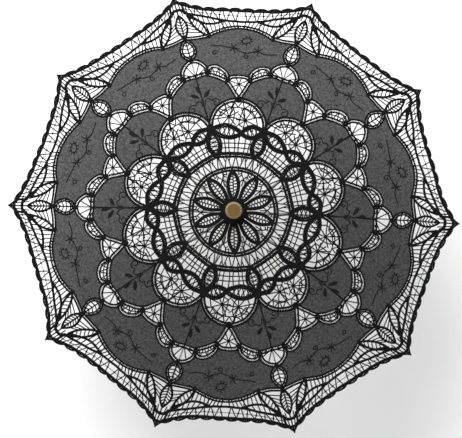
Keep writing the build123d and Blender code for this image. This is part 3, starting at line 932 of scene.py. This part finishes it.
# %% [markdown]
# ## Embroidery
#
# Each petal carries two small leaves, a bud and two curls. The ring has, in each panel, two star flowers, an
# open round flower and curls on a stitched stem. All of it is satin stitch in the same black.


# %% Curls and flowers
def curl(centre, radius, start_degrees, turn_degrees):
    """A spiral that winds inwards."""
    line = []
    for i in range(17):
        t = i / 16
        angle = math.radians(start_degrees + turn_degrees * t)
        line.append(centre + radius * (1 - 0.72 * t) * cmath.exp(1j * angle))
    return line


def star_flower(centre, size, first):
    """Six stitches from the middle outwards."""
    return [[centre, centre + size * cmath.exp(1j * math.radians(first + 60 * i))] for i in range(6)]


def oval(centre, wide, high, angle):
    """A point of an oval."""
    return centre + complex(wide * math.cos(angle), high * math.sin(angle))


def round_flower(centre, size):
    """An open oval with ten short petals."""
    flower = [[oval(centre, size, 0.62 * size, a / 8 * math.pi) for a in range(17)]]
    for i in range(10):
        angle = math.radians(36 * i + 8)
        flower.append([oval(centre, size, 0.62 * size, angle), oval(centre, 1.55 * size, 1.1 * size, angle)])
    return flower


print("a curl of 5 mm takes", round(length_of(curl(0, 5, 90, 400))), "mm of thread")

# %% Lines of the petal's embroidery
small_leaves = (-4 + 206j, -17 + 215j), (4 + 205j, 16 + 214j), (-1 + 213j, -4 + 228j)
stitches = []
for start, end in small_leaves:
    for half in (0.5, 1.5, 2.4):
        stitches += leaf(start, end, half, fullest=0.6)
stitches += [curl(-21 + 189j, 8, 40, 420), curl(21 + 190j, 8, 140, -420)]
stitches.append(smooth([-15 + 194j, -9 + 200j, -4 + 197j, -2 + 190j]))
stitches.append(smooth([15 + 195j, 9 + 201j, 4 + 198j, 2 + 190j]))
print("a petal has", len(stitches), "stitched lines")


# %% Lines of the border's embroidery
def on_panel(radius, degrees):
    """A point of the panel on the right, in degrees from its middle."""
    return polar(radius, HALF_PANEL + degrees)


right_star, left_star = on_panel(287, 6.4), on_panel(289, -2.4)
panel_stitches = star_flower(right_star, 9, 10) + star_flower(left_star, 9, 35)
panel_stitches += round_flower(on_panel(303, 2), 8)
panel_stitches.append(smooth([on_panel(287, 13), on_panel(283, 9), right_star]))
panel_stitches.append(smooth([left_star, on_panel(292, -6), on_panel(296, -10)]))
panel_stitches.append(smooth([right_star, on_panel(280, 2), left_star]))
panel_stitches += [curl(on_panel(274, 2.6), 5, 90, 400), curl(on_panel(281, -9), 5, 0, 400)]
for line in panel_stitches:
    stitches += [line, turned(line, -2 * HALF_PANEL)]
drawing["stitch"] = stitches
print("with the border there are", len(stitches), "stitched lines")

# %% [markdown]
# ## Sewing it all over the ribs
#
# Each rib carries the lace from the middle of one panel to the middle of the next. It turns with its rib.

# %% One rib's lace and cloth
TAPE_ABOVE, THREAD_ABOVE = 2.3, 2.1         # over the middle of the rib's wire
CLOTH_ABOVE, STITCH_ABOVE = 2.0, 2.45


def sewn_lines(rib, number):
    """The tapes with their knots, the threads and the embroidery over one rib."""
    tapes = thread_mesh(f"tape_{number}", ("cord", "rope", "edge", "bar", "rung"), rib, TAPE_ABOVE)
    add_knots(tapes, rib, TAPE_ABOVE)
    threads = thread_mesh(f"web_{number}", ("thread",), rib, THREAD_ABOVE)
    stitching = thread_mesh(f"sewn_{number}", ("stitch",), rib, STITCH_ABOVE)
    return (
        finished(f"lace_tape_{number}", tapes, COTTON),
        finished(f"lace_threads_{number}", threads, COTTON),
        finished(f"embroidery_{number}", stitching, EMBROIDERY),
    )


def cloth(name, edges, columns, rows, rib, joined):
    """Voile on both sides of a rib, joined along the rib where nothing parts the two sides."""
    bm = bmesh.new()
    for flip in (list, mirrored):
        patch(bm, *[flip(edge) for edge in edges], columns, rows, rib, CLOTH_ABOVE)
    if joined:
        bmesh.ops.remove_doubles(bm, verts=bm.verts, dist=0.05 * MM)
    bmesh.ops.recalc_face_normals(bm, faces=bm.faces)
    return finished(name, bm, VOILE)


print("layers from", min(CLOTH_ABOVE, THREAD_ABOVE), "to", max(TAPE_ABOVE, STITCH_ABOVE), "mm above the wire")

# %% Make the lace over every rib
for rib, number in enumerate(numbers):
    angle = math.radians(36 * rib)
    lace, web, sewn = sewn_lines(rib, number)
    petal = cloth(f"petal_cloth_{number}", petal_edges, 22, 14, rib, joined=True)
    ring = cloth(f"border_cloth_{number}", border_edges, 26, 12, rib, joined=False)
    for piece in (lace, web, sewn, petal, ring):
        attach(piece, f"rib_{number}")
        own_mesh(piece)
    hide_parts(f"lace_gore_{number}")
pieces = lace, web, sewn, petal, ring
print("faces over the last rib", {piece.name: len(piece.data.polygons) for piece in pieces})

# %% [markdown]
# ## Gathered lace at the crown
#
# Where all the panels end, the lace is drawn up tight round the foot of the finial and makes a small dark
# ruff. A flat grid is bent into a ring, and waves that grow towards its rim make the gathers.

# %% Crown ruff
RUFF_IN, RUFF_OUT, RUFF_Z = 9.6, 22.0, 583.8
RUFF_RISE, RUFF_FALL = 1.8, 2.2     # of its inner edge, and from there to the rim
GATHERS, GATHER_HEIGHT = 30, 1.3
LOBES, LOBE_DEPTH = 10, 0.8         # one lobe for each rib
RUFF_THICK = 0.6
bm = bmesh.new()
made = bmesh.ops.create_grid(bm, x_segments=180, y_segments=5, size=0.5)
for vert in made["verts"]:
    angle = (vert.co.x + 0.5) * 2 * math.pi
    share = vert.co.y + 0.5
    radius = RUFF_IN + (RUFF_OUT - RUFF_IN) * share + LOBE_DEPTH * math.sin(angle * LOBES) * share
    lift = GATHER_HEIGHT * math.sin(angle * GATHERS + 0.6 * math.sin(angle * 7)) * share
    height = RUFF_Z + RUFF_RISE - RUFF_FALL * share**2 + lift
    vert.co = Vector((radius * math.cos(angle), radius * math.sin(angle), height)) * MM
bmesh.ops.remove_doubles(bm, verts=bm.verts, dist=0.01 * MM)
bmesh.ops.recalc_face_normals(bm, faces=bm.faces)
bmesh.ops.solidify(bm, geom=bm.faces, thickness=RUFF_THICK * MM)
ruff = finished("crown_ruff", bm, COTTON)
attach(ruff, "stick")
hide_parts("crown_rosette")
print("ruff", len(ruff.data.polygons), "faces")

# %% [markdown]
# ## Studio
#
# The parasol stands over a white floor under wide soft light, so the floor shows white through the holes and
# a little grey where the canopy shades it. The camera looks almost straight down through a long lens.

# %% Floor and sky
FLOOR_Z = -0.05
bm = bmesh.new()
bmesh.ops.create_grid(bm, x_segments=1, y_segments=1, size=4)
bmesh.ops.translate(bm, verts=bm.verts, vec=(0, 0, FLOOR_Z))
floor = finished("studio_floor", bm, plain("white_paper", "#ffffff", 1.0))

world = bpy.data.worlds.new("studio_sky")
bpy.context.scene.world = world
world.use_nodes = True
world.node_tree.nodes["Background"].inputs["Color"].default_value = (1, 1, 1, 1)
world.node_tree.nodes["Background"].inputs["Strength"].default_value = 0.66


# %% Lamp
def soft_box(name, place, power, size):
    """A square lamp that faces the canopy."""
    lamp = bpy.data.lights.new(name, "AREA")
    lamp.energy = power
    lamp.size = size
    holder = bpy.data.objects.new(name, lamp)
    bpy.context.collection.objects.link(holder)
    holder.location = place
    holder.rotation_euler = (Vector((0, 0, 0.5)) - Vector(place)).to_track_quat("-Z", "Y").to_euler()
    return holder


key = soft_box("key_light", (-0.55, 1.1, 2.6), 84, 1.4)
print("the lamp is", round((key.location - Vector((0, 0, 0.5))).length, 2), "m from the canopy")

# %% Camera
TARGET = Vector((0, 0, 0.428))      # on the stick, at the height of the rib tips
AIM = Vector((-0.0046, -0.0080, 0)) # how far beside it the camera looks
CAMERA_DISTANCE, CAMERA_TILT, CAMERA_TURN = 4.0, 1.9, 2.36
camera = bpy.data.cameras.new("camera")
camera.sensor_width = 36
camera.lens = 176.494
camera.dof.use_dof = False
viewer = bpy.data.objects.new("camera", camera)
bpy.context.collection.objects.link(viewer)
turn = Matrix.Rotation(math.radians(CAMERA_TURN), 4, "Z")
tilt = Matrix.Rotation(math.radians(CAMERA_TILT), 4, "X")
back = Matrix.Translation((0, 0, CAMERA_DISTANCE))
viewer.matrix_world = Matrix.Translation(TARGET) @ turn @ Matrix.Translation(AIM) @ tilt @ back
bpy.context.scene.camera = viewer
bpy.context.scene.view_settings.view_transform = "Standard"
print("the camera stands at", [round(v, 2) for v in viewer.matrix_world.translation])
